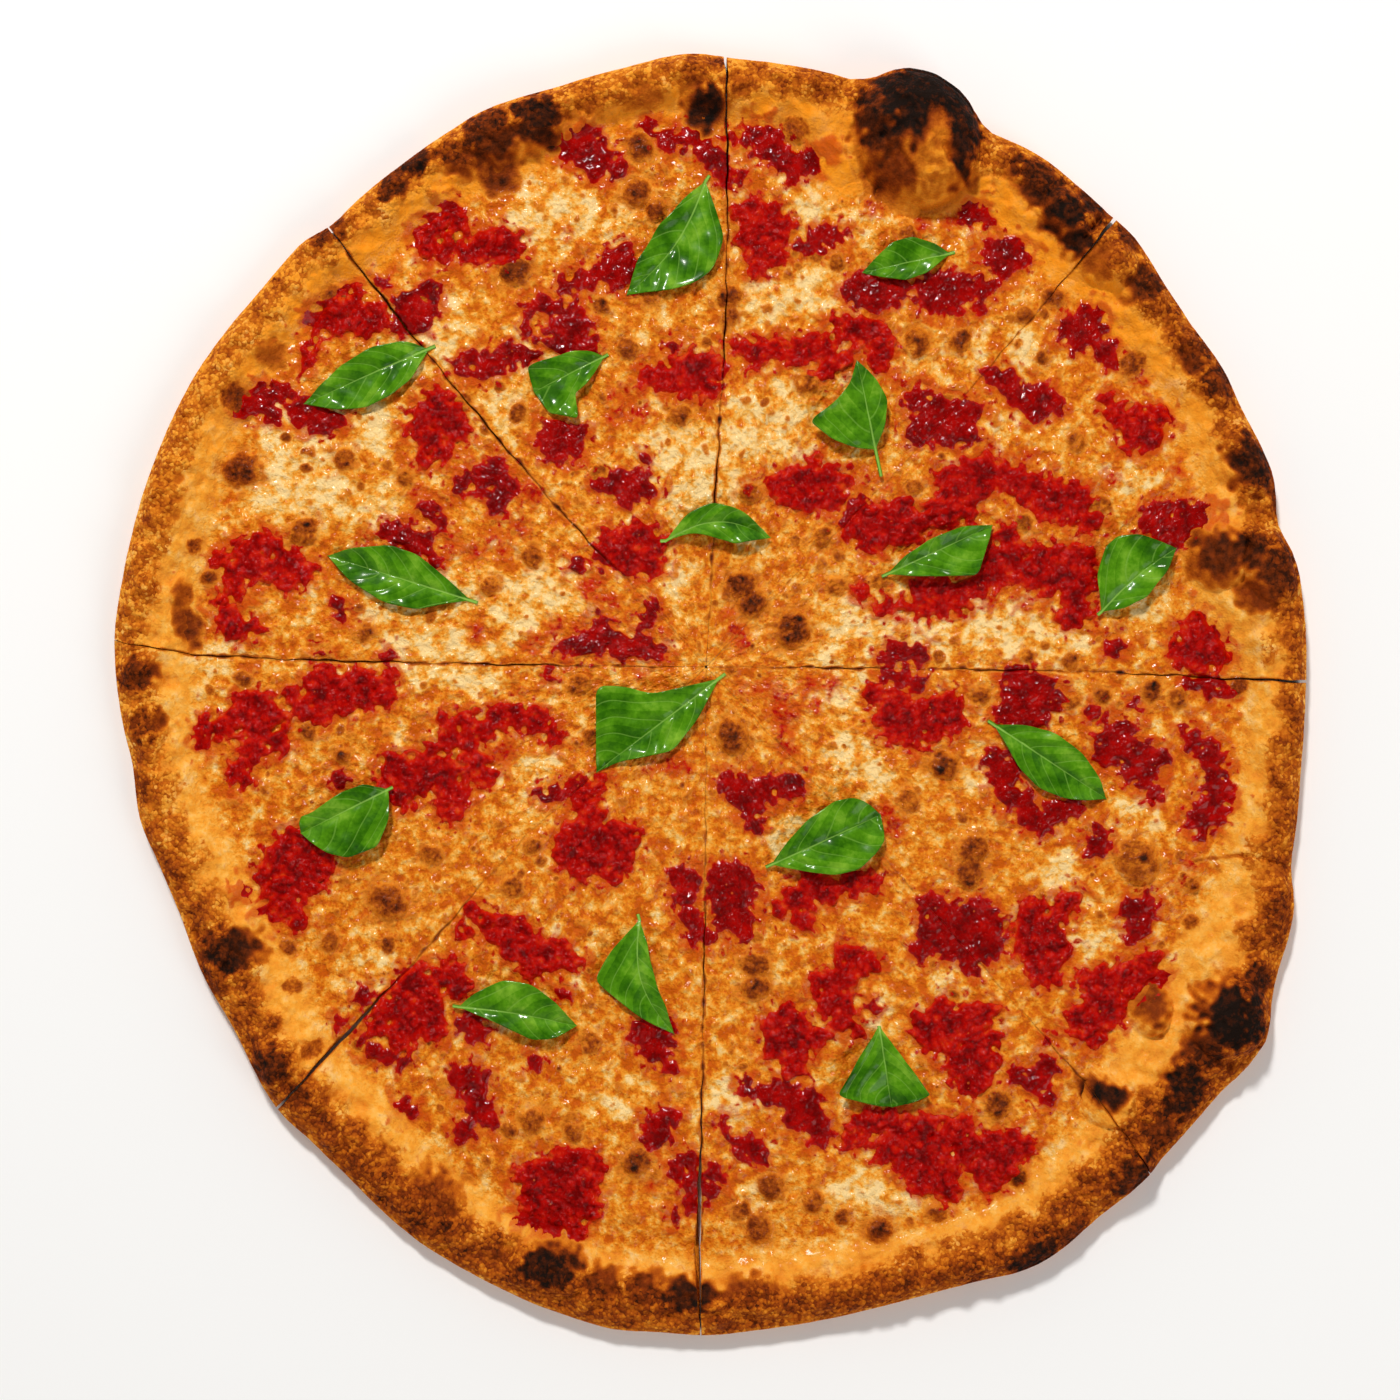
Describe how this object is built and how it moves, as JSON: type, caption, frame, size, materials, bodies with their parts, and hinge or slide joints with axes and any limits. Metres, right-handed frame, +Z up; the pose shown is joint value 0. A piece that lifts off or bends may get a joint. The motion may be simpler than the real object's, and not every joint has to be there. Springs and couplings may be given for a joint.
{
  "type": "pizza",
  "caption": "Large thin round pizza, cut into slices, with melted cheese, tomato sauce and basil leaves; food that lies flat on a tray, board or table.",
  "frame": {"origin": "middle of the outline seen from above, on the flat underside", "axes": "+Z up out of the toppings, +Y along the longer way across, towards the top of the picture"},
  "size_m": [0.4124, 0.4434, 0.0307],
  "materials": {
    "slice_1_crust": "baked crust, toasted brown with charred spots, dull",
    "slice_2_crust": "baked crust, toasted brown with charred spots, dull",
    "slice_3_crust": "baked crust, toasted brown with charred spots, dull",
    "slice_4_crust": "baked crust, toasted brown with charred spots, dull",
    "slice_5_crust": "baked crust, toasted brown with charred spots, dull",
    "slice_6_crust": "baked crust, toasted brown with charred spots, dull",
    "slice_7_crust": "baked crust, toasted brown with charred spots, dull",
    "slice_8_crust": "baked crust, toasted brown with charred spots, dull",
    "slice_1_cheese": "melted cheese, golden with browned spots, slightly oily",
    "slice_2_cheese": "melted cheese, golden with browned spots, slightly oily",
    "slice_3_cheese": "melted cheese, golden with browned spots, slightly oily",
    "slice_4_cheese": "melted cheese, golden with browned spots, slightly oily",
    "slice_5_cheese": "melted cheese, golden with browned spots, slightly oily",
    "slice_6_cheese": "melted cheese, golden with browned spots, slightly oily",
    "slice_7_cheese": "melted cheese, golden with browned spots, slightly oily",
    "slice_8_cheese": "melted cheese, golden with browned spots, slightly oily",
    "sauce_01": "crushed tomato sauce, wet and glossy",
    "sauce_02": "crushed tomato sauce, wet and glossy",
    "sauce_03": "crushed tomato sauce, wet and glossy",
    "sauce_04": "crushed tomato sauce, wet and glossy",
    "sauce_05": "crushed tomato sauce, wet and glossy",
    "sauce_06": "crushed tomato sauce, wet and glossy",
    "sauce_07": "crushed tomato sauce, wet and glossy",
    "sauce_08": "crushed tomato sauce, wet and glossy",
    "sauce_09": "crushed tomato sauce, wet and glossy",
    "sauce_10": "crushed tomato sauce, wet and glossy",
    "sauce_11": "crushed tomato sauce, wet and glossy",
    "sauce_12": "crushed tomato sauce, wet and glossy",
    "sauce_13": "crushed tomato sauce, wet and glossy",
    "sauce_14": "crushed tomato sauce, wet and glossy",
    "sauce_15": "crushed tomato sauce, wet and glossy",
    "sauce_16": "crushed tomato sauce, wet and glossy",
    "sauce_17": "crushed tomato sauce, wet and glossy",
    "sauce_18": "crushed tomato sauce, wet and glossy",
    "sauce_19": "crushed tomato sauce, wet and glossy",
    "sauce_20": "crushed tomato sauce, wet and glossy",
    "sauce_21": "crushed tomato sauce, wet and glossy",
    "sauce_22": "crushed tomato sauce, wet and glossy",
    "sauce_23": "crushed tomato sauce, wet and glossy",
    "sauce_24": "crushed tomato sauce, wet and glossy",
    "sauce_25": "crushed tomato sauce, wet and glossy",
    "sauce_26": "crushed tomato sauce, wet and glossy",
    "sauce_27": "crushed tomato sauce, wet and glossy",
    "sauce_28": "crushed tomato sauce, wet and glossy",
    "basil_01": "fresh leaf, soft sheen",
    "basil_02": "fresh leaf, soft sheen",
    "basil_03": "fresh leaf, soft sheen",
    "basil_04": "fresh leaf, soft sheen",
    "basil_05": "fresh leaf, soft sheen",
    "basil_06": "fresh leaf, soft sheen",
    "basil_07": "fresh leaf, soft sheen",
    "basil_08": "fresh leaf, soft sheen",
    "basil_09": "fresh leaf, soft sheen",
    "basil_10": "fresh leaf, soft sheen",
    "basil_11": "fresh leaf, soft sheen",
    "basil_12": "fresh leaf, soft sheen",
    "basil_13": "fresh leaf, soft sheen",
    "basil_14": "fresh leaf, soft sheen",
    "basil_15": "fresh leaf, soft sheen",
    "basil_16": "fresh leaf, soft sheen"
  },
  "bodies": {
    "root": {"slice_1_crust": "slice_1_crust", "slice_2_crust": "slice_2_crust", "slice_3_crust": "slice_3_crust", "slice_4_crust": "slice_4_crust", "slice_5_crust": "slice_5_crust", "slice_6_crust": "slice_6_crust", "slice_7_crust": "slice_7_crust", "slice_8_crust": "slice_8_crust", "slice_1_cheese": "slice_1_cheese", "slice_2_cheese": "slice_2_cheese", "slice_3_cheese": "slice_3_cheese", "slice_4_cheese": "slice_4_cheese", "slice_5_cheese": "slice_5_cheese", "slice_6_cheese": "slice_6_cheese", "slice_7_cheese": "slice_7_cheese", "slice_8_cheese": "slice_8_cheese", "sauce_01": "sauce_01", "sauce_02": "sauce_02", "sauce_03": "sauce_03", "sauce_04": "sauce_04", "sauce_05": "sauce_05", "sauce_06": "sauce_06", "sauce_07": "sauce_07", "sauce_08": "sauce_08", "sauce_09": "sauce_09", "sauce_10": "sauce_10", "sauce_11": "sauce_11", "sauce_12": "sauce_12", "sauce_13": "sauce_13", "sauce_14": "sauce_14", "sauce_15": "sauce_15", "sauce_16": "sauce_16", "sauce_17": "sauce_17", "sauce_18": "sauce_18", "sauce_19": "sauce_19", "sauce_20": "sauce_20", "sauce_21": "sauce_21", "sauce_22": "sauce_22", "sauce_23": "sauce_23", "sauce_24": "sauce_24", "sauce_25": "sauce_25", "sauce_26": "sauce_26", "sauce_27": "sauce_27", "sauce_28": "sauce_28", "basil_01": "basil_01", "basil_02": "basil_02", "basil_03": "basil_03", "basil_04": "basil_04", "basil_05": "basil_05", "basil_06": "basil_06", "basil_07": "basil_07", "basil_08": "basil_08", "basil_09": "basil_09", "basil_10": "basil_10", "basil_11": "basil_11", "basil_12": "basil_12", "basil_13": "basil_13", "basil_14": "basil_14", "basil_15": "basil_15", "basil_16": "basil_16"}
  },
  "joints": []
}
